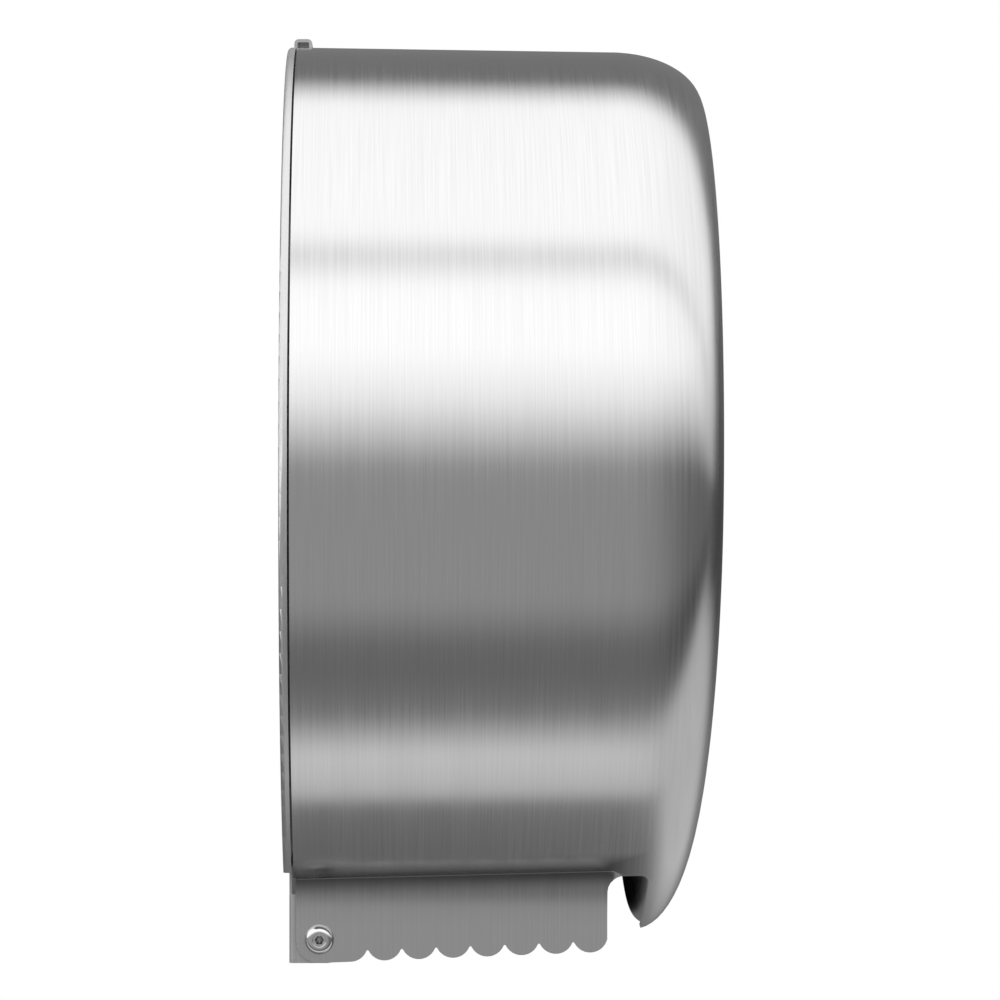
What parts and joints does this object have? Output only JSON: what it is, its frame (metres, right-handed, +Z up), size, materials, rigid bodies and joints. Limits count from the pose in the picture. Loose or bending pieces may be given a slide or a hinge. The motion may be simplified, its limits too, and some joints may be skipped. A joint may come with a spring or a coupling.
{
  "type": "jumbo toilet roll dispenser",
  "caption": "Wall-mounted drum dispenser for jumbo toilet rolls: hinged stainless cover with lobed tear edges, sprung latch hook, sight window and turning core spool.",
  "frame": {"origin": "centre of the four wall screw holes, on the wall plane, which is also the spindle's axis", "axes": "+Y into the wall, -Y forward, +Z up, X across; the spindle runs along Y"},
  "size_m": [0.2736, 0.1256, 0.2774],
  "materials": {
    "cover_steel": "satin, brushed round the drum",
    "plate_steel": "satin",
    "latch_steel": "satin",
    "screw_steel": "polished stainless",
    "rivet_steel": "plain",
    "zinc_steel": "zinc plated",
    "turned_steel": "turned",
    "spring_steel": "bright drawn",
    "spool_plastic": "moulded, fine grain",
    "cap_plastic": "moulded",
    "bush_plastic": "moulded",
    "frame_plastic": "moulded",
    "smoked_lens": "clear, smoked"
  },
  "bodies": {
    "wall_plate": {"back_plate": "plate_steel", "axle_bracket": "zinc_steel", "bracket_rivets": "rivet_steel", "spindle_axle": "turned_steel", "brake_washer": "spring_steel", "end_washer": "zinc_steel", "axle_nut": "zinc_steel", "latch_rivets": "rivet_steel", "latch_spring": "spring_steel", "hinge_screws": "screw_steel", "hinge_nuts": "zinc_steel"},
    "cover": {"cover_shell": "cover_steel", "hinge_bushes": "bush_plastic", "sight_lens": "smoked_lens", "lens_frame": "frame_plastic", "lens_push_nuts": "spring_steel"},
    "latch": {"latch_hook": "latch_steel"},
    "spool": {"core_spool": "spool_plastic", "rear_bush": "bush_plastic", "front_bush": "bush_plastic", "spool_cap": "cap_plastic"}
  },
  "joints": [
    {"name": "cover_hinge", "type": "hinge", "parent": "wall_plate", "child": "cover", "pos_m": [0, -0.0104, -0.131], "axis": [1, 0, 0], "range_deg": [0, 90]},
    {"name": "latch_lift", "type": "slide", "parent": "wall_plate", "child": "latch", "axis": [0, 0, 1], "range_m": [0, 0.0045], "stiffness_N_per_m": 300, "springref_m": -0.008, "deforming": ["latch_spring"]},
    {"name": "spool_spin", "type": "hinge", "parent": "wall_plate", "child": "spool", "pos_m": [0, 0, 0], "axis": [0, -1, 0], "continuous": true}
  ]
}
